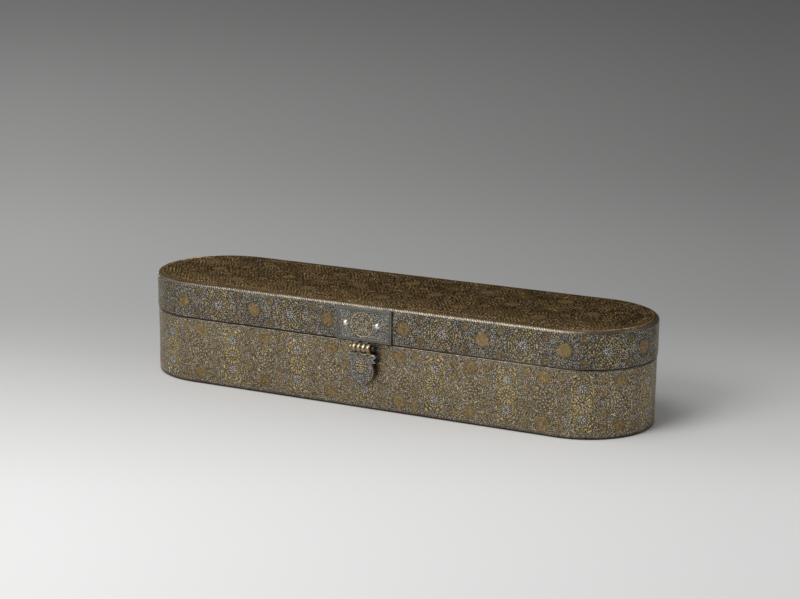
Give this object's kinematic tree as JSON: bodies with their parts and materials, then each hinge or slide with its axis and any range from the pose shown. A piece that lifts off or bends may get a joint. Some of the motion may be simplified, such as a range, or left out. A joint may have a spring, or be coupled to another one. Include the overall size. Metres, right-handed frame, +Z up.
{
  "type": "pen box",
  "caption": "Long inlaid-brass pen box with round ends: a hinged flat-topped lid with a swinging hasp closes over a pen trough and a pierced deck that carries inkwell and cups.",
  "frame": {"origin": "middle of the flat base, on the surface the box stands on", "axes": "+X along the box to the right of someone facing the hasp, -Y towards that person, +Z up"},
  "size_m": [0.3008, 0.0902, 0.0583],
  "materials": {
    "inlaid_brass": "dark patinated brass, inlaid all over with gold and silver",
    "plain_brass": "aged plain brass",
    "bright_brass": "rubbed bright brass",
    "hasp_brass": "dark brass inlaid with silver and gold",
    "silver": null
  },
  "bodies": {
    "body": {"body_floor": "inlaid_brass", "body_wall": "inlaid_brass", "rim_flange": "plain_brass", "ink_partition": "plain_brass", "ink_deck": "plain_brass", "inkwell": "plain_brass", "sand_cup": "plain_brass", "paste_cup": "plain_brass", "hinge_left_body_leaf": "bright_brass", "hinge_right_body_leaf": "bright_brass", "hinge_left_pin": "bright_brass", "hinge_right_pin": "bright_brass", "hinge_left_pin_cap": "bright_brass", "hinge_right_pin_cap": "bright_brass", "hinge_body_rivets": "bright_brass"},
    "lid": {"lid_band": "inlaid_brass", "lid_top": "inlaid_brass", "hinge_left_lid_leaf": "bright_brass", "hinge_right_lid_leaf": "bright_brass", "hinge_lid_rivets": "bright_brass", "hasp_plate": "hasp_brass", "hasp_rivets": "silver", "hasp_pin": "bright_brass", "hasp_pin_cap": "bright_brass"},
    "hasp": {"hasp_tongue": "hasp_brass", "hasp_catch": "bright_brass"}
  },
  "joints": [
    {"name": "lid_hinge", "type": "hinge", "parent": "body", "child": "lid", "pos_m": [0, 0.0425, 0.03755], "axis": [-1, 0, 0], "range_deg": [0, 110]},
    {"name": "hasp_hinge", "type": "hinge", "parent": "lid", "child": "hasp", "pos_m": [0, -0.0425, 0.0351], "axis": [-1, 0, 0], "range_deg": [-4.5, 160]}
  ]
}
